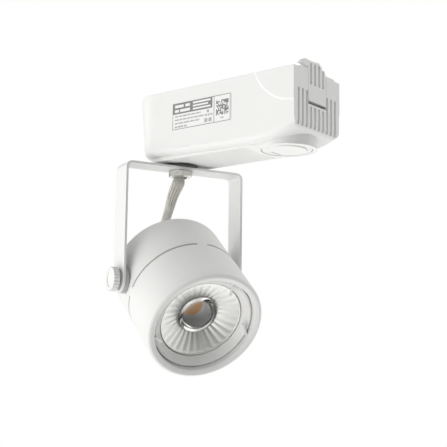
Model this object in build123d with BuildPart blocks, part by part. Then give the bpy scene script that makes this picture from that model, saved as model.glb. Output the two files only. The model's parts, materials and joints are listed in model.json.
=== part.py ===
"""Track spotlight: a driver box that locks into a lighting track, a yoke that pans under it,
and a cylindrical LED head that tilts in the yoke.

Millimetres, +Z up.  The origin is on the centre line of the box's top face, the face that meets the
track.  +X runs along the box towards its ribbed latch end, -Y is the side with the rating label.
"""
from build123d import *
import os
from math import asin, cos, pi, radians, sin, tan

# ---- driving dimensions: adapter box ------------------------------------------------------------
box_length = 95.6
end_face = 50.75                # distance of the ribbed end face from the origin
box_width = 35.0
wall = 2.0
nose_length = 15.6              # half axis of the elliptical end, measured along X
nose_draft = 4.0                # the nose is this much shorter at its foot
belly_depth = 30.6              # deepest point of the curved underside
nose_depth = 28.6               # depth of the underside at the nose
end_depth = 25.6                # depth of the underside at the ribbed end
belly_x = 27.0                  # where the underside is deepest
belly_fillet = 3.0
band_depth = 31.2               # flat raised band along the underside
band_width = 26.6
rib_pitch = 1.27
rib_width = 0.6
rib_depth = 0.45
lid_thickness = 2.0
fit_gap = 0.15                  # gap between the lid or the latch and the shell

# ---- latch end ----------------------------------------------------------------------------------
groove_pitch = 3.16
groove_width = 1.35
groove_depth = 0.9
groove_count = 10
groove_top = -9.0
groove_foot = -25.2
latch_width = 13.8
latch_foot = -13.3
latch_shoulder = -3.2           # top of the part of the latch that sits behind the end wall
latch_groove_depth = 0.8
slot_foot = -14.7
rail_y = 10.4
rail_width = 5.8
rail_depth = 1.9
rail_height = 0.7
spring_thickness = 0.4

# ---- lock dial and contact turret ---------------------------------------------------------------
dial_x = 34.75
dial_ring_radius = 13.4
dial_ring_height = 0.7
dial_radius = 11.2
dial_centre_radius = 9.0
dial_centre_height = 0.5
dial_face = -31.7
dial_top = -28.5
lock_shaft_radius = 3.0
hub_radius = 4.5
hub_foot = -4.2
turret_radius = 7.0
turret_top = 3.3
contact_top = 5.2
recess_radius = 10.5            # shallow recess in the lid round the turret
recess_depth = 0.4
clip_seat = 3.8                 # radius of the groove that holds the shaft clip
clip_foot = -2.9

# ---- pan joint ----------------------------------------------------------------------------------
pan_x = -26.15
nipple_radius = 4.0
nipple_bore = 3.1
spacer_radius = 8.0
washer_radius = 5.6
nut_radius = 5.9
nut_height = 2.5
bar_top = -32.7
running_gap = 0.08              # radial clearance of a pin in its hole
assembly_gap = 0.02             # radial clearance of parts that don't turn

# ---- yoke ---------------------------------------------------------------------------------------
yoke_heading = 65.76            # direction of the tilt axis, from +X towards +Y
yoke_span = 60.0
strip_width = 12.0
strip_thickness = 1.0
bend_radius = 3.0
hinge_z = -87.0

# ---- head ---------------------------------------------------------------------------------------
head_drop = 37.6                # how far the beam points below the horizontal
head_radius = 27.0
head_rear = -14.2               # distances along the head's axis, from the tilt axis
head_front = 36.35
head_wall = 1.8
vent_at = 9.1
vent_width = 1.1
ring_seam = 33.6
ring_bore = 23.3
bridge_width = 4.7              # bridges left across the vent slit
boss_radius = 5.4
boss_inner = 21.6               # distances from the middle of the yoke, along the tilt axis
insert_radius = 3.4
cover_thickness = 2.0
cover_screw_radius = 21.3
cover_screw_count = 3
cover_screw_turn = 30
sink_base = 10.6
fin_count = 16
lens_radius = 19.2
lens_face = 30.3
lens_dome_radius = 8.8
holder_radius = 22.9
board_face = 15.6
clip_angles = (73, 141, 200, 350)
clip_skews = (-28, 33, 49, 47)          # turn of each clip away from the head's axis, in degrees
clip_lengths = (6.0, 4.8, 4.4, 6.7)

# ---- thumbscrews and cable ----------------------------------------------------------------------
stud_radius = 2.0
stud_end = 23.6                 # distances from the middle of the yoke
knob_radius = 5.5
knob_inner = 30.85
knob_outer = 34.2
knob_collar = 0.5
flute_count = 24
flute_radius = 0.36
cable_radius = 1.7
gland_radius = 4.2
gland_reach = 3.5               # how far the gland stands behind the rear cover

# ---- details --------------------------------------------------------------------------------------
board_foot = -22.0
board_thickness = 1.6
screw_radius = 1.0
screw_length = 9.0
screw_head_radius = 1.95
arc_radius = 22.2               # thin round finger pad on each side of the box
arc_height = 6.9
arc_depth = 0.4
label_x = 0.1
label_z = -12.9
label_width = 34.0
label_height = 12.8
gate_mark = (13.25, -8.5)

# ---- frames -------------------------------------------------------------------------------------
nose_tip = end_face - box_length
half_width = box_width / 2
nose_x = nose_tip + nose_length
floor_top = wall - band_depth
board_top = board_foot + board_thickness
post_foot = wall / 2 - belly_depth
ledge_top = -18.4
spacer_foot = bar_top + 0.05
bar_foot = bar_top - strip_thickness
washer_foot = bar_foot - 0.45
nut_foot = washer_foot - nut_height
nipple_foot = nut_foot - 0.3
nipple_head = floor_top + 5.0
inner_half_span = yoke_span / 2 - strip_thickness
cover_front = head_rear + cover_thickness
inner_radius = head_radius - head_wall
cover_radius = inner_radius - 0.1
lens_rear = board_face + 1.4

heading = radians(yoke_heading)
drop = radians(head_drop)
across = Vector(cos(heading), sin(heading), 0)                  # along the tilt axis
forward = Vector(sin(heading), -cos(heading), 0)                # the way the beam faces, in plan
beam = forward * cos(drop) + Vector(0, 0, -sin(drop))           # along the head, out of the lens
crown = forward * sin(drop) + Vector(0, 0, cos(drop))           # head's own upward direction
hinge = Vector(pan_x, 0, hinge_z)

yoke_front = Plane(origin=(pan_x, 0, 0), x_dir=across, z_dir=forward)    # local x across, y up
yoke_side = Plane(origin=(pan_x, 0, 0), x_dir=forward, z_dir=-across)    # local x forward, y up
head = Plane(origin=hinge, x_dir=across, z_dir=beam)                     # local y is the crown
head_half = Plane(origin=hinge, x_dir=crown, z_dir=across)               # local x radius, y length
head_axis = Axis(hinge, beam)
pan_half = Plane(origin=(pan_x, 0, 0), x_dir=(1, 0, 0), z_dir=(0, -1, 0))
pan_axis = Axis((pan_x, 0, 0), (0, 0, 1))
dial_half = Plane(origin=(dial_x, 0, 0), x_dir=(1, 0, 0), z_dir=(0, -1, 0))
dial_axis = Axis((dial_x, 0, 0), (0, 0, 1))


def tilt_plane(side, distance):
    """Plane square to the tilt axis, on one side of the head, facing outwards."""
    return Plane(origin=hinge + across * side * distance, x_dir=(0, 0, 1), z_dir=across * side)


def keep(part, name):
    """Label a finished piece and write it to its own file."""
    part.label = name
    export_step(part, f"parts/{name}.step")


def outline(*points):
    """Closed face through the given corner points, inside the current sketch."""
    make_face(Wire.make_polygon(points).edges())


def dome(rim, foot, rise):
    """Start, middle and end of a cap's arc, from its rim to the axis."""
    radius = (rim ** 2 + rise ** 2) / (2 * rise)
    half_turn = asin(rim / radius) / 2
    middle = (radius * sin(half_turn), foot + rise - radius * (1 - cos(half_turn)))
    return (rim, foot), middle, (0, foot + rise)


def side_form(inset, top):
    """The box seen from the side: flat top, bellied underside, carried across its width."""
    with BuildPart() as form:
        with BuildSketch(Plane.XZ) as side:
            with BuildLine():
                nose_foot = (nose_tip, -nose_depth)
                deepest = (belly_x, -belly_depth)
                end_foot = (end_face, -end_depth)
                ThreePointArc(nose_foot, ((belly_x + nose_tip) / 2, -30.0), deepest)
                ThreePointArc(deepest, (40.5, -29.3), end_foot)
                Polyline(end_foot, (end_face, top), (nose_tip, top), nose_foot)
            make_face()
            if inset:
                offset(amount=-inset, mode=Mode.REPLACE)
        extrude(amount=box_width, both=True)
    return form.part


def nose_reach(z):
    """Half axis of the nose at a height: the mould's draft shortens it towards the foot."""
    return nose_length + nose_draft * z / nose_depth


def plan_form(inset):
    """The box seen from above: straight sides, square latch end, tapering elliptical nose."""
    top, foot = 10, -35
    with BuildPart() as form:
        for z in (top, foot):
            with BuildSketch(Plane.XY.offset(z)):
                with Locations((nose_x, 0)):
                    Ellipse(nose_reach(z) - inset, half_width - inset)
        loft()
        with BuildSketch(Plane.XY.offset(foot)):
            with Locations((nose_x, 0)):
                Rectangle(end_face - inset - nose_x, box_width - 2 * inset,
                          align=(Align.MIN, Align.CENTER))
        extrude(amount=top - foot)
    return form.part


def band_form(inset, foot):
    """The flat raised band under the belly, round at the pan joint and at the dial."""
    with BuildPart() as form:
        with BuildSketch(Plane.XY.offset(foot)):
            with Locations(((pan_x + dial_x) / 2, 0)):
                SlotCenterToCenter(dial_x - pan_x, band_width - 2 * inset)
        extrude(amount=-20 - foot)
    return form.part


def hollow_form():
    """The space inside the shell, open at the top."""
    with BuildPart() as form:
        add(side_form(wall, 12))
        add(plan_form(wall), mode=Mode.INTERSECT)
        add(band_form(wall, wall - band_depth))
    return form.part


os.makedirs("parts", exist_ok=True)

# ==== adapter box ================================================================================
lid_post_spots = [(-36.5, 8.0), (-36.5, -8.0), (42.0, 12.2), (42.0, -12.2)]
board_post_spots = [(-13.0, 10.0), (-13.0, -10.0), (18.5, 10.0), (18.5, -10.0)]

# thin round finger pads on the sides, with a sloping edge
with BuildPart() as side_pads:
    for side in (-1, 1):
        face = Plane(origin=(end_face, side * half_width, arc_height), x_dir=(1, 0, 0), z_dir=(0, side, 0))
        with Locations(face):
            Cone(arc_radius, arc_radius - 2 * arc_depth, arc_depth, align=(Align.CENTER, Align.CENTER, Align.MIN))
    with BuildSketch(Plane.XY.offset(-arc_radius)):
        Rectangle(end_face, box_width + 4 * arc_depth, align=(Align.MIN, Align.CENTER))
    extrude(amount=arc_radius, mode=Mode.INTERSECT)

with BuildPart() as adapter_shell:
    add(side_form(0, 0))
    add(plan_form(0), mode=Mode.INTERSECT)
    low_edges = adapter_shell.edges().filter_by(lambda e: e.center().Z < -22)
    fillet(low_edges.filter_by(lambda e: abs(e.center().Y) > 1 or abs(e.center().X) > 40), belly_fillet)
    add(band_form(0, -band_depth))
    with BuildSketch(Plane.XY.offset(-band_depth)):
        with Locations((dial_x, 0)):
            Circle(dial_ring_radius)
    extrude(amount=-dial_ring_height)
    # rails beside the latch
    with BuildSketch(Plane.XY):
        for side in (-1, 1):
            with Locations((end_face - rail_depth / 2, side * rail_y)):
                Rectangle(rail_depth, rail_width)
    extrude(amount=rail_height)
    add(hollow_form(), mode=Mode.SUBTRACT)
    # posts for the lid and the board, cut to height, and the ledge that carries the latch spring
    with BuildSketch(Plane.XY.offset(post_foot)):
        with Locations(*board_post_spots):
            Circle(2.0)
    extrude(amount=board_foot - post_foot)
    for spot, foot in zip(lid_post_spots, (-28.0, -28.0, -27.6, -27.6)):
        with BuildSketch(Plane.XY.offset(foot)):
            with Locations(spot):
                Circle(2.6)
        extrude(amount=-lid_thickness - foot)
    with BuildSketch(Plane.XY.offset(ledge_top)):
        with Locations((end_face - wall, 0)):
            Rectangle(5.0, 15.0, align=(Align.MAX, Align.CENTER))
    extrude(amount=-1.6)
    with BuildSketch(Plane.XY.offset(-lid_thickness)):
        with Locations(*lid_post_spots):
            Circle(screw_radius + assembly_gap)
    extrude(amount=-screw_length, mode=Mode.SUBTRACT)
    # holes for the pan joint and the dial
    with BuildSketch(Plane.XY.offset(-35)):
        with Locations((pan_x, 0)):
            Circle(nipple_radius + assembly_gap)
        with Locations((dial_x, 0)):
            Circle(dial_radius + 0.3)
    extrude(amount=8, mode=Mode.SUBTRACT)
    with BuildSketch(Plane.XY.offset(-band_depth)):
        with Locations(gate_mark):
            Circle(0.4)
    extrude(amount=rib_depth + 0.1, mode=Mode.SUBTRACT)
    # fine ribs along the band, between the pan joint and the dial ring
    ribs_from = pan_x + 10.0
    ribs_to = dial_x - dial_ring_radius - 1.0
    with BuildSketch(Plane.XY.offset(-band_depth)):
        with Locations(((ribs_from + ribs_to) / 2, 0)):
            with GridLocations(1, rib_pitch, 1, 19):
                Rectangle(ribs_to - ribs_from, rib_width)
    extrude(amount=rib_depth, mode=Mode.SUBTRACT)
    # notch for the latch, down to the slot under it
    with BuildSketch(Plane.XY.offset(slot_foot)):
        with Locations((end_face, 0)):
            Rectangle(2 * wall, latch_width + 2 * fit_gap)
    extrude(amount=20, mode=Mode.SUBTRACT)
    # grip grooves on the end face
    with BuildSketch(Plane.YZ.offset(end_face)):
        for i in range(groove_count):
            y = (i - (groove_count - 1) / 2) * groove_pitch
            top = groove_top if abs(y) > latch_width / 2 else slot_foot - 1.0
            with Locations((y, (top + groove_foot) / 2)):
                Rectangle(groove_width, top - groove_foot)
    extrude(amount=-groove_depth, mode=Mode.SUBTRACT)
    add(side_pads.part)
keep(adapter_shell.part, "adapter_shell")

with BuildPart() as adapter_lid:
    add(plan_form(wall + fit_gap))
    with BuildSketch(Plane.XY.offset(-lid_thickness)):
        Rectangle(2 * box_length, 2 * box_width)
    extrude(amount=lid_thickness, mode=Mode.INTERSECT)
    with BuildSketch(Plane.XY):
        with Locations((dial_x, 0)):
            Circle(recess_radius)
    extrude(amount=-recess_depth, mode=Mode.SUBTRACT)
    with BuildSketch(Plane.XY.offset(-lid_thickness)):
        with Locations((dial_x, 0)):
            Circle(hub_radius + running_gap)
        with Locations(*lid_post_spots):
            Circle(screw_radius + assembly_gap)
    extrude(amount=lid_thickness, mode=Mode.SUBTRACT)
    with BuildSketch(Plane.XY):
        with Locations(*lid_post_spots):
            Circle(screw_head_radius + 0.1)
    extrude(amount=-1.0, mode=Mode.SUBTRACT)
keep(adapter_lid.part, "adapter_lid")

with BuildPart() as lid_screws:
    with BuildSketch(Plane.XY.offset(-0.05)):
        with Locations(*lid_post_spots):
            Circle(screw_head_radius)
            Rectangle(2.4, 0.5, mode=Mode.SUBTRACT)
            Rectangle(0.5, 2.4, mode=Mode.SUBTRACT)
    extrude(amount=-0.5)
    with BuildSketch(Plane.XY.offset(-0.55)):
        with Locations(*lid_post_spots):
            Circle(screw_head_radius)
    extrude(amount=-0.45)
    with BuildSketch(Plane.XY.offset(-1.0)):
        with Locations(*lid_post_spots):
            Circle(screw_radius)
    extrude(amount=1.0 - screw_length)
keep(lid_screws.part, "lid_screws")

with BuildPart() as rating_label:
    with BuildSketch(Plane.XZ.offset(half_width)):
        with Locations((label_x, label_z)):
            RectangleRounded(label_width, label_height, 0.6)
    extrude(amount=0.15)
keep(rating_label.part, "rating_label")

# ==== driver electronics =========================================================================
with BuildPart() as driver_board:
    with BuildSketch(Plane.XY.offset(board_foot)):
        with Locations((2.75, 0)):
            Rectangle(42.0, 24.0)
    extrude(amount=board_top - board_foot)
keep(driver_board.part, "driver_board")

with BuildPart() as transformer:
    with BuildSketch(Plane.XY.offset(board_top)):
        with Locations((4.0, 1.0)):
            Rectangle(15.0, 13.0)
    extrude(amount=2.0)
    with BuildSketch(Plane.XY.offset(board_top + 2.0)):
        with Locations((4.0, 1.0)):
            Rectangle(11.0, 13.0)
    extrude(amount=8.0)
    with BuildSketch(Plane.XY.offset(board_top + 10.0)):
        with Locations((4.0, 1.0)):
            Rectangle(15.0, 13.0)
    extrude(amount=1.6)
    with BuildSketch(Plane.XY.offset(board_top + 2.6)):
        with Locations((4.0, 1.0)):
            Rectangle(14.0, 9.0)
    extrude(amount=6.8)
keep(transformer.part, "transformer")

with BuildPart() as electrolytic_capacitors:
    with BuildSketch(Plane.XY.offset(board_top)):
        with Locations((17.5, 5.5), (17.5, -5.5)):
            Circle(4.0)
    extrude(amount=12.0)
    fillet(electrolytic_capacitors.edges().group_by(Axis.Z)[-1], 0.6)
keep(electrolytic_capacitors.part, "electrolytic_capacitors")

with BuildPart() as filter_capacitor:
    with BuildSketch(Plane.XY.offset(board_top)):
        with Locations((-8.5, -6.5)):
            RectangleRounded(8.0, 5.0, 0.8)
    extrude(amount=9.0)
keep(filter_capacitor.part, "filter_capacitor")

with BuildPart() as filter_choke:
    with BuildSketch(Plane.XY.offset(board_top)):
        with Locations((-8.0, 0.5)):
            Circle(3.4)
            Circle(1.4, mode=Mode.SUBTRACT)
    extrude(amount=5.0)
keep(filter_choke.part, "filter_choke")

with BuildPart() as output_terminal:
    with BuildSketch(Plane.XY.offset(board_top)):
        with Locations((-14.5, 7.0)):
            Rectangle(6.0, 8.0)
    extrude(amount=7.0)
    with BuildSketch(Plane.XY.offset(board_top + 7.0)):
        with Locations((-14.5, 5.0), (-14.5, 9.0)):
            Circle(1.2)
    extrude(amount=-3.0, mode=Mode.SUBTRACT)
keep(output_terminal.part, "output_terminal")

# ==== end latch ==================================================================================
with BuildPart() as end_latch:
    half = latch_width / 2
    with BuildSketch(Plane.YZ.offset(end_face)):
        with BuildLine():
            Polyline((half, 0.4), (half, latch_foot), (-half, latch_foot), (-half, 1.9), (-9.2, 1.95))
            ThreePointArc((-9.2, 1.95), (-11.0, 2.4), (-12.6, 2.2))
            ThreePointArc((-12.6, 2.2), (-10.6, 4.3), (-7.6, 4.8))
            Polyline((-7.6, 4.8), (-4.0, 4.7), (1.4, 5.2), (3.6, 3.6), (5.8, 2.6), (half, 0.4))
        make_face()
    extrude(amount=fit_gap - wall)
    with BuildSketch(Plane.YZ.offset(end_face - wall + fit_gap)):
        with Locations((0, (latch_foot + latch_shoulder) / 2)):
            Rectangle(latch_width, latch_shoulder - latch_foot)
    extrude(amount=-2 * fit_gap)
    with BuildSketch(Plane.YZ.offset(end_face - wall - fit_gap)):
        with Locations((0, (latch_foot + latch_shoulder) / 2)):
            Rectangle(latch_width + 3.4, latch_shoulder - latch_foot)
    extrude(amount=-1.7)
    with BuildSketch(Plane.YZ.offset(end_face)):
        for i in range(4):
            with Locations(((i - 1.5) * groove_pitch, -0.9)):
                Rectangle(groove_width, 9.6)
    extrude(amount=-latch_groove_depth, mode=Mode.SUBTRACT)
keep(end_latch.part, "end_latch")

spring_half = 6.2
spring_top = latch_foot - 0.05
with BuildPart() as latch_spring:
    with BuildSketch(Plane.YZ.offset(end_face - wall - 0.5)):
        with BuildLine():
            upper = ledge_top + spring_thickness
            ThreePointArc((-spring_half, upper), (0, spring_top), (spring_half, upper))
            Line((spring_half, upper), (spring_half, ledge_top))
            ThreePointArc((spring_half, ledge_top), (0, spring_top - spring_thickness),
                          (-spring_half, ledge_top))
            Line((-spring_half, ledge_top), (-spring_half, upper))
        make_face()
    extrude(amount=-1.2)
keep(latch_spring.part, "latch_spring")

# ==== lock dial, shaft and contact turret ========================================================
centre_face = dial_face - dial_centre_height
with BuildPart() as lock_dial:
    with BuildSketch(dial_half):
        outline((0, centre_face), (dial_centre_radius, centre_face), (dial_centre_radius, dial_face),
                (dial_radius, dial_face), (dial_radius, dial_top), (0, dial_top))
    revolve(axis=dial_axis)
    # finger slot across one side of the raised centre
    with BuildSketch(Plane.XY.offset(centre_face)):
        with Locations((dial_x - 6.7, 1.2)):
            Rectangle(1.0, 8.0)
    extrude(amount=1.0, mode=Mode.SUBTRACT)
keep(lock_dial.part, "lock_dial")

with BuildPart() as lock_shaft:
    with BuildSketch(dial_half):
        outline((0, dial_top), (lock_shaft_radius, dial_top), (lock_shaft_radius, hub_foot), (0, hub_foot))
    revolve(axis=dial_axis)
keep(lock_shaft.part, "lock_shaft")

with BuildPart() as shaft_clip:
    with BuildSketch(Plane.XY.offset(clip_foot)):
        with Locations((dial_x, 0)):
            Circle(6.4)
            Circle(clip_seat + assembly_gap, mode=Mode.SUBTRACT)
            Rectangle(8.0, 5.6, align=(Align.MIN, Align.CENTER), mode=Mode.SUBTRACT)
    extrude(amount=0.6)
keep(shaft_clip.part, "shaft_clip")

turret_foot = 0.1 - recess_depth
with BuildPart() as contact_turret:
    with BuildSketch(dial_half):
        outline((0, hub_foot), (hub_radius, hub_foot), (hub_radius, clip_foot - 0.1),
                (clip_seat, clip_foot - 0.1), (clip_seat, clip_foot + 0.7), (hub_radius, clip_foot + 0.7),
                (hub_radius, turret_foot), (turret_radius, turret_foot), (turret_radius, turret_top - 0.5),
                (turret_radius - 0.5, turret_top), (0, turret_top))
    revolve(axis=dial_axis)
    with BuildSketch(Plane.XY.offset(turret_top)):
        with Locations((dial_x, 0)):
            SlotOverall(13.0, 5.0)
    extrude(amount=contact_top - turret_top)
    # grooves that hold the contact blades, one at each end
    with BuildSketch(Plane.XZ):
        for side in (-1, 1):
            with Locations((dial_x + side * 5.5, turret_top + 0.8)):
                Rectangle(4.0, 0.62)
    extrude(amount=4.0, both=True, mode=Mode.SUBTRACT)
keep(contact_turret.part, "contact_turret")

with BuildPart() as contact_blades:
    with BuildSketch(Plane.XY.offset(turret_top + 0.5)):
        for side in (-1, 1):
            with Locations((dial_x + side * 6.6, 0)):
                RectangleRounded(6.0, 3.6, 0.8)
    extrude(amount=0.6)
keep(contact_blades.part, "contact_blades")

# ==== pan joint ==================================================================================
with BuildPart() as pan_nipple:
    with BuildSketch(pan_half):
        outline((nipple_bore, nipple_foot), (nipple_radius - 0.4, nipple_foot),
                (nipple_radius, nipple_foot + 0.4), (nipple_radius, nipple_head - 0.4),
                (nipple_radius - 0.4, nipple_head), (nipple_bore, nipple_head))
    revolve(axis=pan_axis)
keep(pan_nipple.part, "pan_nipple")

with BuildPart() as inner_nut:
    with BuildSketch(Plane.XY.offset(floor_top)):
        with Locations((pan_x, 0)):
            RegularPolygon(6.6, 6)
            Circle(nipple_radius + assembly_gap, mode=Mode.SUBTRACT)
    extrude(amount=3.0)
keep(inner_nut.part, "inner_nut")

with BuildPart() as pan_spacer:
    with BuildSketch(Plane.XY.offset(spacer_foot)):
        with Locations((pan_x, 0)):
            Circle(spacer_radius)
            Circle(nipple_radius + 0.1, mode=Mode.SUBTRACT)
    extrude(amount=-band_depth - spacer_foot)
    chamfer(pan_spacer.edges().filter_by(GeomType.CIRCLE).group_by(SortBy.LENGTH)[-1], 0.3)
keep(pan_spacer.part, "pan_spacer")

with BuildPart() as pan_washer:
    with BuildSketch(Plane.XY.offset(washer_foot)):
        with Locations((pan_x, 0)):
            Circle(washer_radius)
            Circle(nipple_radius + 0.1, mode=Mode.SUBTRACT)
    extrude(amount=0.4)
keep(pan_washer.part, "pan_washer")

with BuildPart() as pan_nut:
    with BuildSketch(Plane.XY.offset(nut_foot)):
        with Locations(Location((pan_x, 0), 20)):
            RegularPolygon(nut_radius, 6)
        with Locations((pan_x, 0)):
            Circle(nipple_radius + assembly_gap, mode=Mode.SUBTRACT)
    extrude(amount=nut_height)
    with BuildSketch(pan_half):
        outline((0, nut_foot), (nut_radius - 0.8, nut_foot), (nut_radius + 0.05, nut_foot + 0.5),
                (nut_radius + 0.05, washer_foot - 0.4), (nut_radius - 0.5, washer_foot), (0, washer_foot))
    revolve(axis=pan_axis, mode=Mode.INTERSECT)
keep(pan_nut.part, "pan_nut")

# ==== yoke =======================================================================================
with BuildPart() as yoke_bracket:
    with BuildSketch(yoke_front) as outer_arch:
        with Locations((0, bar_top)):
            Rectangle(yoke_span, 70, align=(Align.CENTER, Align.MAX))
        fillet(outer_arch.vertices().group_by(Axis.Y)[-1], bend_radius)
    extrude(amount=strip_width / 2, both=True)
    with BuildSketch(yoke_front) as inner_arch:
        with Locations((0, bar_foot)):
            Rectangle(2 * inner_half_span, 70, align=(Align.CENTER, Align.MAX))
        fillet(inner_arch.vertices().group_by(Axis.Y)[-1], bend_radius - strip_thickness)
    extrude(amount=strip_width, both=True, mode=Mode.SUBTRACT)
    # round the foot of each arm about the tilt axis
    with BuildSketch(yoke_side):
        with Locations((0, hinge_z)):
            Circle(strip_width / 2)
            Rectangle(strip_width, 60, align=(Align.CENTER, Align.MIN))
    extrude(amount=yoke_span, both=True, mode=Mode.INTERSECT)
    with BuildSketch(yoke_side):
        with Locations((0, hinge_z)):
            Circle(stud_radius + running_gap)
    extrude(amount=yoke_span, both=True, mode=Mode.SUBTRACT)
    with BuildSketch(Plane.XY.offset(bar_foot - 1)):
        with Locations((pan_x, 0)):
            Circle(nipple_radius + running_gap)
    extrude(amount=strip_thickness + 2, mode=Mode.SUBTRACT)
keep(yoke_bracket.part, "yoke_bracket")

with BuildPart() as outer_washers:
    for side in (-1, 1):
        with BuildSketch(tilt_plane(side, yoke_span / 2 + 0.02)):
            Circle(4.9)
            Circle(stud_radius + 0.1, mode=Mode.SUBTRACT)
        extrude(amount=0.7)
keep(outer_washers.part, "outer_washers")

# ==== thumbscrews ================================================================================
for side, name in ((-1, "left"), (1, "right")):
    with BuildPart() as knob:
        with BuildSketch(tilt_plane(side, knob_inner)):
            Circle(4.2)
        extrude(amount=knob_collar)
        with BuildSketch(tilt_plane(side, knob_inner + knob_collar)):
            Circle(knob_radius)
            with PolarLocations(knob_radius, flute_count):
                Circle(flute_radius, mode=Mode.SUBTRACT)
        extrude(amount=knob_outer - knob_inner - knob_collar)
        with BuildSketch(tilt_plane(side, knob_outer)):
            Circle(3.6)
        extrude(amount=-0.3, mode=Mode.SUBTRACT)
        with BuildSketch(tilt_plane(side, knob_inner)):
            Circle(stud_radius)
        extrude(amount=2.0, mode=Mode.SUBTRACT)
    keep(knob.part, f"{name}_knob")

    with BuildPart() as stud:
        with BuildSketch(tilt_plane(side, stud_end)):
            Circle(stud_radius)
        extrude(amount=knob_inner + 2.0 - stud_end)
    keep(stud.part, f"{name}_stud")

# ==== head =======================================================================================
with BuildPart() as head_housing:
    with BuildSketch(head_half):
        with BuildLine():
            Polyline((inner_radius, head_rear), (head_radius - 1.0, head_rear))
            ThreePointArc((head_radius - 1.0, head_rear),
                          (head_radius - 0.3, head_rear + 0.3), (head_radius, head_rear + 1.0))
            Polyline((head_radius, head_rear + 1.0), (head_radius, ring_seam), (inner_radius, ring_seam),
                     (inner_radius, cover_front + 1.2), (inner_radius - 1.4, cover_front + 1.2),
                     (inner_radius - 1.4, cover_front), (inner_radius, cover_front),
                     (inner_radius, head_rear))
        make_face()
    revolve(axis=head_axis)
    # bosses that carry the tilt inserts, and posts for the rear cover screws
    for side in (-1, 1):
        with BuildSketch(tilt_plane(side, boss_inner)):
            Circle(boss_radius)
        extrude(amount=head_radius - 0.6 - boss_inner)
    with BuildSketch(head.offset(cover_front)):
        with PolarLocations(cover_screw_radius, cover_screw_count, cover_screw_turn):
            Circle(3.0)
        with PolarLocations(inner_radius - 1.0, cover_screw_count, cover_screw_turn):
            Rectangle(3.0, 5.0)
    extrude(amount=8.0)
    with BuildSketch(head.offset(cover_front)):
        with PolarLocations(cover_screw_radius, cover_screw_count, cover_screw_turn):
            Circle(1.27)
    extrude(amount=7.0, mode=Mode.SUBTRACT)
    for side in (-1, 1):
        with BuildSketch(tilt_plane(side, boss_inner)):
            Circle(insert_radius)
        extrude(amount=head_radius - boss_inner + 1, mode=Mode.SUBTRACT)
    # vent slit round the housing, broken by four bridges
    with BuildSketch(head.offset(vent_at)):
        Circle(head_radius + 1)
        Circle(inner_radius - 0.6, mode=Mode.SUBTRACT)
        with PolarLocations(head_radius, 4):
            Rectangle(8.0, bridge_width, mode=Mode.SUBTRACT)
    extrude(amount=vent_width, mode=Mode.SUBTRACT)
keep(head_housing.part, "head_housing")

with BuildPart() as tilt_inserts:
    for side in (-1, 1):
        with BuildSketch(tilt_plane(side, boss_inner)):
            Circle(insert_radius)
            Circle(stud_radius + assembly_gap, mode=Mode.SUBTRACT)
        extrude(amount=head_radius + 0.1 - boss_inner)
keep(tilt_inserts.part, "tilt_inserts")

with BuildPart() as tilt_spacers:
    for side in (-1, 1):
        with BuildSketch(tilt_plane(side, head_radius + 0.15)):
            Circle(6.2)
            Circle(stud_radius + 0.1, mode=Mode.SUBTRACT)
        extrude(amount=inner_half_span - 0.05 - head_radius - 0.15)
keep(tilt_spacers.part, "tilt_spacers")

with BuildPart() as rear_cover:
    with BuildSketch(head.offset(head_rear)):
        Circle(cover_radius)
        Circle(gland_radius, mode=Mode.SUBTRACT)
        with PolarLocations(cover_screw_radius, cover_screw_count, cover_screw_turn):
            Circle(1.35, mode=Mode.SUBTRACT)
        with PolarLocations(13.2, 12, start_angle=15):
            SlotOverall(10.0, 2.0, mode=Mode.SUBTRACT)
    extrude(amount=cover_thickness)
keep(rear_cover.part, "rear_cover")

with BuildPart() as rear_cover_screws:
    with BuildSketch(head.offset(head_rear)):
        with PolarLocations(cover_screw_radius, cover_screw_count, cover_screw_turn):
            Circle(2.3)
            Rectangle(3.0, 0.6, mode=Mode.SUBTRACT)
            Rectangle(0.6, 3.0, mode=Mode.SUBTRACT)
    extrude(amount=-0.7)
    with BuildSketch(head.offset(head_rear)):
        with PolarLocations(cover_screw_radius, cover_screw_count, cover_screw_turn):
            Circle(2.3)
    extrude(amount=-0.5)
    with BuildSketch(head.offset(head_rear)):
        with PolarLocations(cover_screw_radius, cover_screw_count, cover_screw_turn):
            Circle(1.25)
    extrude(amount=8.0)
keep(rear_cover_screws.part, "rear_cover_screws")

with BuildPart() as cable_gland:
    with BuildSketch(head_half):
        outline((0, head_rear - gland_reach), (3.2, head_rear - gland_reach), (4.4, head_rear - 1.4),
                (6.2, head_rear - 1.4), (6.2, head_rear - 0.02), (gland_radius - 0.05, head_rear - 0.02),
                (gland_radius - 0.05, cover_front + 0.1), (4.9, cover_front + 0.5), (3.4, cover_front + 3.0),
                (0, cover_front + 3.0))
    revolve(axis=head_axis)
keep(cable_gland.part, "cable_gland")

with BuildPart() as heat_sink:
    with BuildSketch(head.offset(sink_base)):
        Circle(inner_radius - 0.4)
    extrude(amount=board_face - board_thickness - sink_base)
    with BuildSketch(head.offset(-6.0)):
        Circle(6.0)
        with PolarLocations(11.7, fin_count, start_angle=180 / fin_count):
            Rectangle(12.4, 1.4)
    extrude(amount=sink_base + 6.0)
keep(heat_sink.part, "heat_sink")

with BuildPart() as led_board:
    with BuildSketch(head.offset(board_face - board_thickness)):
        Circle(16.0)
        with PolarLocations(13.4, 2, start_angle=45):
            Circle(1.6, mode=Mode.SUBTRACT)
    extrude(amount=board_thickness)
keep(led_board.part, "led_board")

with BuildPart() as led_chip:
    with BuildSketch(head.offset(board_face)):
        RectangleRounded(9.0, 9.0, 0.5)
    extrude(amount=0.7)
    with BuildSketch(head.offset(board_face + 0.7)):
        Circle(3.6)
    extrude(amount=0.4)
keep(led_chip.part, "led_chip")

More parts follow.
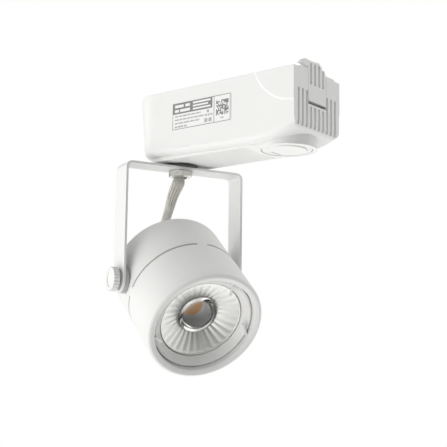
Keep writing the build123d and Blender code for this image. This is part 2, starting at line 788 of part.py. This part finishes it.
lens_edge = lens_radius - 0.2
dome_foot = lens_face - 3.4
with BuildPart() as lens:
    with BuildSketch(head_half):
        with BuildLine():
            Polyline((5.4, lens_rear), (6.6, lens_rear))
            ThreePointArc((6.6, lens_rear), (14.4, lens_rear + 5.2), (lens_edge, lens_face - 1.6))
            Polyline((lens_edge, lens_face - 1.6), (lens_edge, lens_face),
                     (lens_dome_radius + 0.8, lens_face), (lens_dome_radius, dome_foot))
            ThreePointArc(*dome(lens_dome_radius, dome_foot, 1.8))
            Line((0, dome_foot + 1.8), (0, lens_rear + 2.4))
            ThreePointArc(*dome(5.4, lens_rear, 2.4))
        make_face()
    revolve(axis=head_axis)
keep(lens.part, "lens")

with BuildPart() as lens_holder:
    with BuildSketch(head_half):
        outline((holder_radius - 1.2, board_face + 0.2), (holder_radius, board_face + 0.2),
                (holder_radius, ring_seam - 0.4), (holder_radius - 0.9, ring_seam),
                (lens_radius + 0.6, lens_face + 1.0), (lens_radius, lens_face + 0.4),
                (lens_radius, lens_face - 2.0), (holder_radius - 1.2, lens_face - 2.0))
    revolve(axis=head_axis)
keep(lens_holder.part, "lens_holder")

with BuildPart() as lens_clips:
    with BuildSketch(head.offset(ring_seam)):
        for angle, skew, length in zip(clip_angles, clip_skews, clip_lengths):
            with PolarLocations(ring_bore - 0.5, 1, start_angle=angle):
                with Locations(Rotation(0, 0, 180 - skew)):
                    Rectangle(length, 1.0, align=(Align.MIN, Align.CENTER))
    extrude(amount=0.8)
keep(lens_clips.part, "lens_clips")

spigot_radius = inner_radius - 0.15
with BuildPart() as front_ring:
    with BuildSketch(head_half):
        with BuildLine():
            Polyline((ring_bore, head_front - 1.0), (ring_bore, ring_seam - 3.6),
                     (spigot_radius, ring_seam - 3.6), (spigot_radius, ring_seam + assembly_gap),
                     (head_radius, ring_seam + assembly_gap), (head_radius, head_front - 1.6))
            ThreePointArc((head_radius, head_front - 1.6), (head_radius - 0.5, head_front - 0.5),
                          (head_radius - 1.6, head_front))
            Line((head_radius - 1.6, head_front), (ring_bore + 0.8, head_front - 0.5))
            Line((ring_bore + 0.8, head_front - 0.5), (ring_bore, head_front - 1.0))
        make_face()
    revolve(axis=head_axis)
keep(front_ring.part, "front_ring")

# ==== cable ======================================================================================
def cable_point(s, t, z):
    """A point beside the pan axis: s across the yoke, t forward, z up."""
    return Vector(pan_x, 0, z) + across * s + forward * t


gland_end = hinge + beam * (head_rear - gland_reach)
route = [
    cable_point(0, 0, -28.0),
    cable_point(0, -0.2, -37.5),
    cable_point(-0.9, -3.9, -42.2),
    cable_point(-1.0, -8.2, -48.0),
    cable_point(-1.0, -12.6, -54.0),
    cable_point(-0.8, -16.6, -59.0),
    cable_point(-0.5, -19.0, -63.2),
    cable_point(-0.2, -19.6, -67.2),
    cable_point(0, -18.7, -71.1),
    gland_end - beam * 3.1,
    gland_end,
]
radii = []
for before, corner, after in zip(route, route[1:], route[2:]):
    turn = (corner - before).get_angle(after - corner)
    shorter = min((corner - before).length, (after - corner).length)
    radii.append(0.45 * shorter / tan(radians(turn / 2)))
print("cable arc radii", [round(r, 1) for r in radii])

with BuildPart() as supply_cable:
    with BuildLine():
        run = FilletPolyline(*route, radius=radii)
    with BuildSketch(Plane(origin=run @ 0, z_dir=run % 0)):
        Circle(cable_radius)
    sweep()
run_length = run.length
section = pi * cable_radius ** 2
volume_ratio = supply_cable.part.volume / section / run_length
print("cable length", round(run_length, 2), "volume ratio", round(volume_ratio, 4))
keep(supply_cable.part, "supply_cable")
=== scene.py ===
"""Looks of the track spotlight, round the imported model: materials, cable, lens, spring, label, studio.

Metres, +Z up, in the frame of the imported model: the origin is the centre of the box's top face,
+X runs along the box towards its ribbed latch end and -Y is the side with the rating label.
"""
import json
from math import cos, pi, radians, sin, sqrt
import random

import bmesh
import bpy
from mathutils import Matrix, Vector


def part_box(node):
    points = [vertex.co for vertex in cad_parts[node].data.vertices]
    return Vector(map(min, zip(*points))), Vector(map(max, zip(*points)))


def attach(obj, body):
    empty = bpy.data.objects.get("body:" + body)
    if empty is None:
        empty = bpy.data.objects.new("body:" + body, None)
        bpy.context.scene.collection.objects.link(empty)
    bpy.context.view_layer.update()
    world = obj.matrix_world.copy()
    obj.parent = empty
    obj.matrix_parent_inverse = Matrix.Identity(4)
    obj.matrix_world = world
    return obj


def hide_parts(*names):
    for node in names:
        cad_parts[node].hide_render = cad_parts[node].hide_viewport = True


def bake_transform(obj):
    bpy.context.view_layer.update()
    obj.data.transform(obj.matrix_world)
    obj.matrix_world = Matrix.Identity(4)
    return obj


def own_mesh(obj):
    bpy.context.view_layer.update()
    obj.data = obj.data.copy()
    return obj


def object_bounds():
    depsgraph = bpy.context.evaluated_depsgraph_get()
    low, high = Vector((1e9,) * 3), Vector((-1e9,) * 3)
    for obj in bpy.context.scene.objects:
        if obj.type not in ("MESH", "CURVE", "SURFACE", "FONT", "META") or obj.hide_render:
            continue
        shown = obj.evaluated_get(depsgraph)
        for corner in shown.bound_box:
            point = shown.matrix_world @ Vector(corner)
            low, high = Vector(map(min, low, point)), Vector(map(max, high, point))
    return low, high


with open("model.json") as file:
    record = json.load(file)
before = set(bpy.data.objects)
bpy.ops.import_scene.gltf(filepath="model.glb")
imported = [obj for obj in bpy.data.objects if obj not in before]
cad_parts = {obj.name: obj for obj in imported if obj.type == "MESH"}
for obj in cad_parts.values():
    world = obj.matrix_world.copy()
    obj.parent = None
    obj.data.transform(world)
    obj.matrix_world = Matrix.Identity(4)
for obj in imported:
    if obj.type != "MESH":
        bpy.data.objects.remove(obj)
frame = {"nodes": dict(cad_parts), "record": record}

cad_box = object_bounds()
MM = 0.001

# ---- the object's main lines, as the CAD source has them -------------------------------------------
pan_x = -26.15
yoke_heading = radians(65.76)
head_drop = radians(37.6)
across = Vector((cos(yoke_heading), sin(yoke_heading), 0))      # along the tilt axis
forward = Vector((sin(yoke_heading), -cos(yoke_heading), 0))    # the way the beam faces, in plan
up = Vector((0, 0, 1))
beam = forward * cos(head_drop) - up * sin(head_drop)
crown = forward * sin(head_drop) + up * cos(head_drop)
hinge = Vector((pan_x, 0, -87.0)) * MM
head_rear = -14.2
gland_reach = 3.5

# ---- camera ---------------------------------------------------------------------------------------
camera_heading = radians(38.04)
camera_pitch = radians(9.71)
camera_roll = radians(0.7145)
camera_place = Vector((317.65, -406.1, -149.4)) * MM

camera_data = bpy.data.cameras.new("camera")
camera_data.lens = 92.88
camera_data.sensor_width = 36.0
camera = bpy.data.objects.new("camera", camera_data)
bpy.context.scene.collection.objects.link(camera)
back = Vector((sin(camera_heading) * cos(camera_pitch), -cos(camera_heading) * cos(camera_pitch),
               -sin(camera_pitch)))
level = Vector((cos(camera_heading), sin(camera_heading), 0))
upright = back.cross(level)
right = level * cos(camera_roll) + upright * sin(camera_roll)
top = upright * cos(camera_roll) - level * sin(camera_roll)
turn = Matrix((right, top, back)).transposed()
camera.matrix_world = Matrix.Translation(camera_place) @ turn.to_4x4()
bpy.context.scene.camera = camera
bpy.context.scene.view_settings.view_transform = "Standard"


# ---- mesh helpers ---------------------------------------------------------------------------------
def add_piece(name, mesh, material):
    """Link a new mesh object with its material."""
    piece = bpy.data.objects.new(name, mesh)
    piece.data.materials.append(material)
    bpy.context.scene.collection.objects.link(piece)
    return piece


def frames_along(points):
    """Point, and two directions square to the path that don't twist, at each point."""
    frames = []
    side = None
    for before, here, after in zip([points[0]] + points, points, points[1:] + [points[-1]]):
        ahead = (after - before).normalized()
        if side is None:
            side = ahead.orthogonal()
        side = (side - ahead * side.dot(ahead)).normalized()
        frames.append((here, side, ahead.cross(side)))
    return frames


def sweep(form, points, radii, sides):
    """Closed tube along the points."""
    rings = []
    for (here, u, v), radius in zip(frames_along(points), radii):
        spokes = [2 * pi * i / sides for i in range(sides)]
        rings.append([form.verts.new(here + (u * cos(a) + v * sin(a)) * radius) for a in spokes])
    for near, far in zip(rings, rings[1:]):
        for i in range(sides):
            j = (i + 1) % sides
            form.faces.new((near[i], near[j], far[j], far[i])).smooth = True
    form.faces.new(rings[0][::-1])
    form.faces.new(rings[-1])


def block(form, low, high):
    """Box between two corners."""
    corners = [form.verts.new((x, y, z)) for x in (low[0], high[0]) for y in (low[1], high[1])
               for z in (low[2], high[2])]
    for quad in ((0, 1, 3, 2), (4, 6, 7, 5), (0, 4, 5, 1), (2, 3, 7, 6), (0, 2, 6, 4), (1, 5, 7, 3)):
        form.faces.new([corners[i] for i in quad])


def mesh_of(form, name):
    """The form's mesh, with its faces turned outwards."""
    bmesh.ops.recalc_face_normals(form, faces=form.faces)
    mesh = bpy.data.meshes.new(name)
    form.to_mesh(mesh)
    form.free()
    return mesh


# ---- materials ------------------------------------------------------------------------------------
def add_node(tree, kind, inputs, **settings):
    """New node with its settings and input values."""
    node = tree.nodes.new(kind)
    for key, value in settings.items():
        setattr(node, key, value)
    for key, value in inputs.items():
        node.inputs[key].default_value = value
    return node


def surface(name, light, dark, patch, grain, rough, bump, stretch=(1, 1, 1), edge=0.0, **constants):
    """Material with drifting colour, uneven gloss and a fine grain.

    light and dark are the two colours it drifts between over patches of a size in mm, grain the size
    of the fine relief in mm, bump the depth of that relief in mm and edge the rounding of its corners.
    """
    material = bpy.data.materials.new(name)
    material.use_nodes = True
    tree = material.node_tree
    shader = tree.nodes["Principled BSDF"]
    for key, value in constants.items():
        shader.inputs[key.replace("_", " ")].default_value = value
    place = add_node(tree, "ShaderNodeTexCoord", {})
    scaled = add_node(tree, "ShaderNodeMapping", {"Scale": stretch})
    tree.links.new(place.outputs["Object"], scaled.inputs["Vector"])

    drift = add_node(tree, "ShaderNodeTexNoise", {"Scale": 1 / (patch * MM), "Detail": 3.0})
    mix = add_node(tree, "ShaderNodeMix", {}, data_type="RGBA")
    mix.inputs["A"].default_value = (*dark, 1)
    mix.inputs["B"].default_value = (*light, 1)
    tree.links.new(scaled.outputs["Vector"], drift.inputs["Vector"])
    tree.links.new(drift.outputs["Fac"], mix.inputs["Factor"])
    tree.links.new(mix.outputs["Result"], shader.inputs["Base Color"])

    fine = add_node(tree, "ShaderNodeTexNoise", {"Scale": 1 / (grain * MM), "Detail": 4.0})
    gloss = add_node(tree, "ShaderNodeMapRange", {"To Min": rough[0], "To Max": rough[1]})
    relief = add_node(tree, "ShaderNodeBump", {"Strength": 0.6, "Distance": bump * MM})
    tree.links.new(scaled.outputs["Vector"], fine.inputs["Vector"])
    tree.links.new(fine.outputs["Fac"], gloss.inputs["Value"])
    tree.links.new(gloss.outputs["Result"], shader.inputs["Roughness"])
    tree.links.new(fine.outputs["Fac"], relief.inputs["Height"])
    if edge:
        rounding = add_node(tree, "ShaderNodeBevel", {"Radius": edge * MM}, samples=4)
        tree.links.new(rounding.outputs["Normal"], relief.inputs["Normal"])
    tree.links.new(relief.outputs["Normal"], shader.inputs["Normal"])
    return material


def grey(value, warm=0.0):
    """Neutral colour, a little yellower if warm."""
    return (value, value * (1 - 0.2 * warm), value * (1 - warm))


finishes = {
    "white_plastic": surface("white_plastic", grey(0.88), grey(0.84, 0.01), 14, 0.35, (0.34, 0.44), 0.012,
                             edge=0.25),
    "white_paint": surface("white_paint", grey(0.86), grey(0.83, 0.01), 20, 0.5, (0.38, 0.5), 0.02, edge=0.3),
    "label_film": surface("label_film", grey(0.9), grey(0.87), 6, 0.3, (0.3, 0.42), 0.004),
    "circuit_board": surface("circuit_board", (0.06, 0.26, 0.1), (0.02, 0.15, 0.06), 2.5, 0.6, (0.35, 0.5),
                             0.03),
    "dark_plastic": surface("dark_plastic", grey(0.06), grey(0.035), 3, 0.3, (0.4, 0.6), 0.02, edge=0.2),
    "yellow_film": surface("yellow_film", (0.8, 0.56, 0.1), (0.66, 0.45, 0.07), 4, 0.4, (0.3, 0.4), 0.02,
                           edge=0.3),
    "terminal_green": surface("terminal_green", (0.12, 0.45, 0.2), (0.07, 0.33, 0.14), 3, 0.3, (0.4, 0.5),
                              0.02, edge=0.2),
    "spring_bronze": surface("spring_bronze", (0.34, 0.25, 0.15), (0.16, 0.12, 0.08), 1.5, 0.2, (0.28, 0.45),
                             0.01, Metallic=1.0),
    "copper": surface("copper", (0.83, 0.46, 0.3), (0.6, 0.3, 0.18), 2, 0.2, (0.22, 0.4), 0.006,
                      stretch=(1, 6, 6), edge=0.1, Metallic=1.0),
    "brass": surface("brass", (0.78, 0.6, 0.3), (0.62, 0.46, 0.2), 2, 0.2, (0.22, 0.36), 0.006, Metallic=1.0),
    "zinc_steel": surface("zinc_steel", (0.62, 0.62, 0.6), (0.42, 0.42, 0.42), 1.2, 0.15, (0.26, 0.42), 0.008,
                          edge=0.12, Metallic=1.0),
    "chrome": surface("chrome", (0.72, 0.72, 0.7), (0.55, 0.54, 0.5), 2, 0.4, (0.1, 0.2), 0.004, edge=0.3,
                      Metallic=1.0),
    "grey_nylon": surface("grey_nylon", (0.5, 0.5, 0.49), (0.38, 0.38, 0.37), 3, 0.3, (0.45, 0.58), 0.02,
                          edge=0.2),
    "raw_aluminium": surface("raw_aluminium", (0.8, 0.8, 0.8), (0.62, 0.62, 0.63), 3, 0.25, (0.3, 0.45), 0.01,
                             Metallic=1.0),
    "board_white": surface("board_white", grey(0.82), grey(0.72, 0.03), 2, 0.3, (0.3, 0.42), 0.01),
    "clear_optic": surface("clear_optic", grey(0.98), grey(0.94, 0.02), 8, 0.8, (0.03, 0.08), 0.004, IOR=1.49,
                           Transmission_Weight=1.0),
    "frosted_plastic": surface("frosted_plastic", grey(0.97), grey(0.92, 0.02), 5, 0.6, (0.26, 0.38), 0.01,
                               IOR=1.49, Transmission_Weight=0.12),
    "cable_sleeve": surface("cable_sleeve", grey(0.84, 0.05), grey(0.6, 0.12), 1.2, 0.25, (0.42, 0.6), 0.03,
                            stretch=(1, 1, 0.2)),
}


def phosphor():
    """LED package: a round yellow-orange phosphor field on a pale ceramic square."""
    field_radius = 3.6 * MM
    board_face = 15.6 * MM
    material = bpy.data.materials.new("led_phosphor")
    material.use_nodes = True
    tree = material.node_tree
    shader = tree.nodes["Principled BSDF"]
    place = add_node(tree, "ShaderNodeTexCoord", {})
    span = add_node(tree, "ShaderNodeVectorMath", {}, operation="DISTANCE")
    span.inputs[1].default_value = hinge + beam * (board_face + 1.1 * MM)
    ramp = add_node(tree, "ShaderNodeMapRange", {"From Min": field_radius, "From Max": field_radius * 1.04})
    mix = add_node(tree, "ShaderNodeMix", {}, data_type="RGBA")
    mix.inputs["B"].default_value = (*grey(0.8), 1)
    speckle = add_node(tree, "ShaderNodeTexNoise", {"Scale": 4000.0, "Detail": 3.0})
    field = add_node(tree, "ShaderNodeMix", {}, data_type="RGBA")
    field.inputs["A"].default_value = (0.95, 0.5, 0.2, 1)
    field.inputs["B"].default_value = (0.85, 0.4, 0.12, 1)
    relief = add_node(tree, "ShaderNodeBump", {"Strength": 0.5, "Distance": 0.02 * MM})
    shader.inputs["Roughness"].default_value = 0.5
    tree.links.new(place.outputs["Object"], span.inputs[0])
    tree.links.new(place.outputs["Object"], speckle.inputs["Vector"])
    tree.links.new(span.outputs["Value"], ramp.inputs["Value"])
    tree.links.new(speckle.outputs["Fac"], field.inputs["Factor"])
    tree.links.new(field.outputs["Result"], mix.inputs["A"])
    tree.links.new(ramp.outputs["Result"], mix.inputs["Factor"])
    tree.links.new(mix.outputs["Result"], shader.inputs["Base Color"])
    tree.links.new(speckle.outputs["Fac"], relief.inputs["Height"])
    tree.links.new(relief.outputs["Normal"], shader.inputs["Normal"])
    return material


finishes["led_phosphor"] = phosphor()
label_ink = surface("label_ink", grey(0.26), grey(0.2), 3, 0.3, (0.4, 0.5), 0.004)
label_text = surface("label_text", grey(0.48), grey(0.42), 3, 0.3, (0.4, 0.5), 0.004)

for part in frame["record"]["subparts"]:
    node = frame["nodes"][part["node"]]
    node.data.materials.clear()
    node.data.materials.append(finishes[part["material_slot"]])

# ---- cable ----------------------------------------------------------------------------------------
cable_radius = 1.7 * MM


def cable_point(s, t, z):
    """A point beside the pan axis, in mm: s across the yoke, t forward, z up."""
    return (Vector((pan_x, 0, z)) + across * s + forward * t) * MM


gland_end = hinge + beam * (head_rear - gland_reach) * MM
route = [
    cable_point(0, 0, -28.0),
    cable_point(0, -0.2, -37.5),
    cable_point(-0.9, -3.9, -42.2),
    cable_point(-1.0, -8.2, -48.0),
    cable_point(-1.0, -12.6, -54.0),
    cable_point(-0.8, -16.6, -59.0),
    cable_point(-0.5, -19.0, -63.2),
    cable_point(-0.2, -19.6, -67.2),
    cable_point(0, -18.7, -71.1),
    gland_end - beam * 3.1 * MM,
    gland_end,
]


def smooth_line(points):
    """Points along the NURBS spline that the route controls."""
    curve = bpy.data.curves.new("route", "CURVE")
    curve.dimensions = "3D"
    spline = curve.splines.new("NURBS")
    spline.points.add(len(points) - 1)
    for control, point in zip(spline.points, points):
        control.co = (*point, 1)
    spline.order_u = 3
    spline.use_endpoint_u = True
    holder = bpy.data.objects.new("route", curve)
    bpy.context.scene.collection.objects.link(holder)
    line = bpy.data.meshes.new_from_object(holder.evaluated_get(bpy.context.evaluated_depsgraph_get()))
    found = [vertex.co.copy() for vertex in line.vertices]
    bpy.data.objects.remove(holder)
    bpy.data.meshes.remove(line)
    return found


line = smooth_line(route)
form = bmesh.new()
sweep(form, line, [cable_radius * 0.97] * len(line), 24)
sleeve = add_piece("cable_sleeve", mesh_of(form, "cable_sleeve"), finishes["cable_sleeve"])

# fibres of the braided sleeve: bundled wide at the nut, drawn in along the way to the head
fibre_count = 26
fibre_radius = 0.26 * MM
bundle_bore = 1.9 * MM                  # inside the nipple
bundle_wide = 2.75 * MM
bundle_narrow = 1.5 * MM
mouth = 8.2 * MM                        # distances along the cable
widest = 11.0 * MM
drawn_in = 40 * MM
fibre_turn = 0.05 / MM
taper_curve = 0.8
fibre_waver = 0.08 * MM
travelled = [0.0]
for before, after in zip(line, line[1:]):
    travelled.append(travelled[-1] + (after - before).length)
form = bmesh.new()
for strand in range(fibre_count):
    rounds = (1, -0.6)[strand % 2]
    points = []
    for (here, u, v), distance in zip(frames_along(line), travelled):
        flare = min(max((distance - mouth) / (widest - mouth), 0), 1)
        share = min(max((distance - widest) / (drawn_in - widest), 0), 1)
        reach = bundle_bore + (bundle_wide - bundle_bore) * flare
        reach += (bundle_narrow - bundle_wide) * share ** taper_curve
        reach += fibre_waver * sin(strand * 2.4 + distance * 0.35 / MM)
        angle = 2 * pi * strand / fibre_count + rounds * fibre_turn * distance * 0.5
        points.append(here + (u * cos(angle) + v * sin(angle)) * reach)
    sweep(form, points, [fibre_radius] * len(points), 8)
fibres = add_piece("cable_fibres", mesh_of(form, "cable_fibres"), finishes["cable_sleeve"])
for piece in (sleeve, fibres):
    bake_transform(piece)
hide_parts("supply_cable")

# ---- lens -----------------------------------------------------------------------------------------
facet_count = 60
bowl_rim = (18.6, 29.7)                 # radius and distance along the head's axis, in mm
bowl_middle = (14.0, 27.9)
bowl_foot = (9.1, 25.4)
bowl_skin = 0.25
pleat = 0.16                            # depth of the fine radial pleats
plain_rim = 0.9                         # the rim is left without pleats for this depth
rim_face = 30.3
core_rear = 17.6                        # solid core that stands over the LED
core_foot_radius = 6.2
core_waist = 24.6
dome_radius = 8.8
dome_foot = 26.9
dome_rise = 1.8
tip_radius = 0.05                       # small flat at each end of the core, on the axis
sharp_edge = radians(25)


def arc_through(first, middle, last, steps):
    """Points of the arc through three points."""
    (ax, ay), (bx, by), (cx, cy) = first, middle, last
    d = 2 * (ax * (by - cy) + bx * (cy - ay) + cx * (ay - by))
    a2, b2, c2 = ax ** 2 + ay ** 2, bx ** 2 + by ** 2, cx ** 2 + cy ** 2
    ux = (a2 * (by - cy) + b2 * (cy - ay) + c2 * (ay - by)) / d
    uy = (a2 * (cx - bx) + b2 * (ax - cx) + c2 * (bx - ax)) / d
    spoke = Vector(first) - Vector((ux, uy))
    span = -spoke.angle_signed(Vector(last) - Vector((ux, uy)))
    turns = [span * i / steps for i in range(steps + 1)]
    return [(ux + spoke.x * cos(a) - spoke.y * sin(a), uy + spoke.x * sin(a) + spoke.y * cos(a))
            for a in turns]


def turned(form, profile, closed):
    """Rings of a surface of revolution round the head's axis; a closed profile is a loop."""
    spokes = [2 * pi * i / facet_count for i in range(facet_count)]
    outward = [across * cos(a) + crown * sin(a) for a in spokes]
    rings = []
    for radius, length in profile:
        rings.append([form.verts.new(hinge + (beam * length + way * radius) * MM) for way in outward])
    pairs = list(zip(rings, rings[1:]))
    if closed:
        pairs.append((rings[-1], rings[0]))
    for near, far in pairs:
        for i in range(facet_count):
            j = (i + 1) % facet_count
            form.faces.new((near[i], near[j], far[j], far[i]))
    return rings


inner = arc_through(bowl_foot, bowl_middle, bowl_rim, 9)
inner.append((bowl_rim[0], rim_face - 0.3))
inner.append((bowl_rim[0] + 0.15, rim_face))
outer = [(radius + 0.6 * bowl_skin, length - 0.8 * bowl_skin) for radius, length in inner]
form = bmesh.new()
rings = turned(form, inner + outer[::-1], True)
for ring in rings:
    for corner in ring[::2]:
        if (corner.co - hinge).dot(beam) < (rim_face - plain_rim) * MM:
            corner.co += beam * pleat * MM
bowl = add_piece("lens_bowl", mesh_of(form, "lens_bowl"),
                 surface("lens_bowl", (0.94, 0.94, 0.93), (0.84, 0.84, 0.82), 2, 0.25, (0.18, 0.3), 0.008,
                         Metallic=0.6))

form = bmesh.new()
dome = arc_through((dome_radius, dome_foot), (dome_radius * 0.52, dome_foot + dome_rise * 0.74),
                   (tip_radius, dome_foot + dome_rise), 8)
core = [(tip_radius, core_rear), (core_foot_radius, core_rear), (dome_radius, core_waist)]
rings = turned(form, core + dome, False)
form.faces.new(rings[0])
form.faces.new(rings[-1])
for face in form.faces:
    face.smooth = True
for edge in form.edges:
    if len(edge.link_faces) == 2 and edge.calc_face_angle() > sharp_edge:
        edge.smooth = False
optic = add_piece("lens_optic", mesh_of(form, "lens_optic"), finishes["clear_optic"])
for piece in (bowl, optic):
    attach(piece, "head")
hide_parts("lens")

# ---- latch spring: a copy of the CAD leaf, carried with the adapter ----------------------------------
spring_node = frame["nodes"]["latch_spring"]
leaf_mesh = spring_node.data.copy()
leaf_mesh.transform(spring_node.matrix_world)
leaf_mesh.materials.clear()
leaf = add_piece("latch_spring_leaf", leaf_mesh, finishes["spring_bronze"])
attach(leaf, "adapter")
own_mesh(leaf)
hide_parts("latch_spring")

# ---- printing on the rating label -----------------------------------------------------------------
random.seed(7)
label_low, label_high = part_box("rating_label")
label_width = label_high[0] - label_low[0]
label_height = label_high[2] - label_low[2]
label_face = label_low[1]
ink_height = 0.03 * MM
ink_foot = 0.05 * MM


def print_blocks(name, boxes, material, height):
    """Thin printed fields; each box is left, top, right, bottom in shares of the label."""
    form = bmesh.new()
    for left, top_edge, right_edge, bottom in boxes:
        low = (label_low[0] + left * label_width, label_face - height, label_high[2] - bottom * label_height)
        high = (label_low[0] + right_edge * label_width, label_face + ink_foot,
                label_high[2] - top_edge * label_height)
        block(form, low, high)
    piece = add_piece(name, mesh_of(form, name), material)
    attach(piece, "adapter")


line_x = 0.008
line_z = 0.022
ink = [
    (0.01, 0.02, 0.99, 0.02 + line_z),
    (0.01, 0.98 - line_z, 0.99, 0.98),
    (0.01, 0.02 + line_z, 0.01 + line_x, 0.98 - line_z),
    (0.99 - line_x, 0.02 + line_z, 0.99, 0.98 - line_z),
    (0.715, 0.02 + line_z, 0.715 + line_x, 0.98 - line_z),
    (0.01 + line_x, 0.02 + line_z, 0.69, 0.42),
]
text = []
for row, (row_end, height) in enumerate(((0.5, 0.05), (0.56, 0.05), (0.48, 0.05), (0.26, 0.06))):
    top_edge = 0.485 + row * 0.125
    left = 0.05
    while left < row_end:
        right_edge = min(left + random.uniform(0.04, 0.1), row_end)
        text.append((left, top_edge, right_edge, top_edge + height))
        left = right_edge + 0.012
text += [(0.6, 0.46, 0.635, 0.56), (0.57, 0.61, 0.6, 0.68), (0.615, 0.61, 0.645, 0.68),
         (0.66, 0.61, 0.69, 0.68), (0.56, 0.76, 0.61, 0.9), (0.63, 0.76, 0.68, 0.9), (0.83, 0.82, 0.88, 0.86)]
cells = 12
cell_x = 0.205 / cells
cell_z = 0.54 / cells
for column in range(cells):
    for row in range(cells):
        if random.random() < 0.58:
            left = 0.755 + column * cell_x
            top_edge = 0.2 + row * cell_z
            ink.append((left, top_edge, left + cell_x * 0.96, top_edge + cell_z * 0.96))
print_blocks("label_print", ink, label_ink, ink_height)
print_blocks("label_text", text, label_text, ink_height)
print_blocks("label_print_reversed", [
    (0.05, 0.09, 0.2, 0.19), (0.23, 0.09, 0.31, 0.19), (0.05, 0.26, 0.12, 0.36), (0.14, 0.26, 0.31, 0.36),
    (0.36, 0.07, 0.66, 0.14), (0.36, 0.19, 0.62, 0.25), (0.36, 0.3, 0.66, 0.36),
], finishes["label_film"], ink_height + 0.02 * MM)

# ---- studio ---------------------------------------------------------------------------------------
floor_drop = 0.16
floor_radius = 3.0
form = bmesh.new()
bmesh.ops.create_circle(form, cap_ends=True, segments=96, radius=floor_radius)
floor = add_piece("floor", mesh_of(form, "floor"),
                  surface("floor", grey(0.93), grey(0.9), 300, 4, (0.6, 0.7), 0.02))
floor.location = (0, 0, cad_box[0][2] - floor_drop)
floor.visible_diffuse = False
floor.visible_glossy = False
floor.visible_transmission = False
floor.visible_shadow = False

# the studio's light: wide soft lobes spread evenly over the sphere, from the top down
lobe_powers = (0.887, 0.0, 0.464, 1.384, 0.505, 0.0, 0.372, 0.665, 0.195, 0.165,
               0.0, 0.71, 1.486, 0.0, 1.14, 2.132, 0.749, 0.0, 0.186, 0.819)
lobe_focus = 6.0
golden_turn = pi * (3 - sqrt(5))
world = bpy.data.worlds.new("studio")
bpy.context.scene.world = world
world.use_nodes = True
sky = world.node_tree
sky.nodes.clear()
direction = add_node(sky, "ShaderNodeTexCoord", {})
total = None
for index, lobe_power in enumerate(lobe_powers):
    height = 1 - 2 * (index + 0.5) / len(lobe_powers)
    spread = sqrt(1 - height ** 2)
    facing = add_node(sky, "ShaderNodeVectorMath", {}, operation="DOT_PRODUCT")
    turned_by = index * golden_turn
    facing.inputs[1].default_value = (spread * cos(turned_by), spread * sin(turned_by), height)
    clipped = add_node(sky, "ShaderNodeMath", {}, operation="MAXIMUM")
    clipped.inputs[1].default_value = 0.0
    narrowed = add_node(sky, "ShaderNodeMath", {}, operation="POWER")
    narrowed.inputs[1].default_value = lobe_focus
    scaled = add_node(sky, "ShaderNodeMath", {}, operation="MULTIPLY_ADD")
    scaled.inputs[1].default_value = lobe_power
    scaled.inputs[2].default_value = 0.0
    sky.links.new(direction.outputs["Generated"], facing.inputs[0])
    sky.links.new(facing.outputs["Value"], clipped.inputs[0])
    sky.links.new(clipped.outputs["Value"], narrowed.inputs[0])
    sky.links.new(narrowed.outputs["Value"], scaled.inputs[0])
    if total:
        sky.links.new(total.outputs["Value"], scaled.inputs[2])
    total = scaled
lit = add_node(sky, "ShaderNodeBackground", {"Color": (1.05, 1.05, 1.03, 1)})
backdrop = add_node(sky, "ShaderNodeBackground", {"Color": (1, 1, 1, 1), "Strength": 1.0})
ray = add_node(sky, "ShaderNodeLightPath", {})
chosen = add_node(sky, "ShaderNodeMixShader", {})
out = add_node(sky, "ShaderNodeOutputWorld", {})
sky.links.new(total.outputs["Value"], lit.inputs["Strength"])
sky.links.new(ray.outputs["Is Camera Ray"], chosen.inputs["Fac"])
sky.links.new(lit.outputs["Background"], chosen.inputs[1])
sky.links.new(backdrop.outputs["Background"], chosen.inputs[2])
sky.links.new(chosen.outputs["Shader"], out.inputs["Surface"])

lamp_data = bpy.data.lights.new("fill", "AREA")
lamp_data.shape = "DISK"
lamp_data.size = 0.5
lamp_data.energy = 0.15
lamp = bpy.data.objects.new("fill", lamp_data)
bpy.context.scene.collection.objects.link(lamp)
lamp.location = (-0.45, -0.55, -0.1)
lamp.rotation_mode = "QUATERNION"
lamp.rotation_quaternion = (Vector((-0.01, 0, -0.06)) - lamp.location).to_track_quat("-Z", "Y")
lamp.visible_camera = False
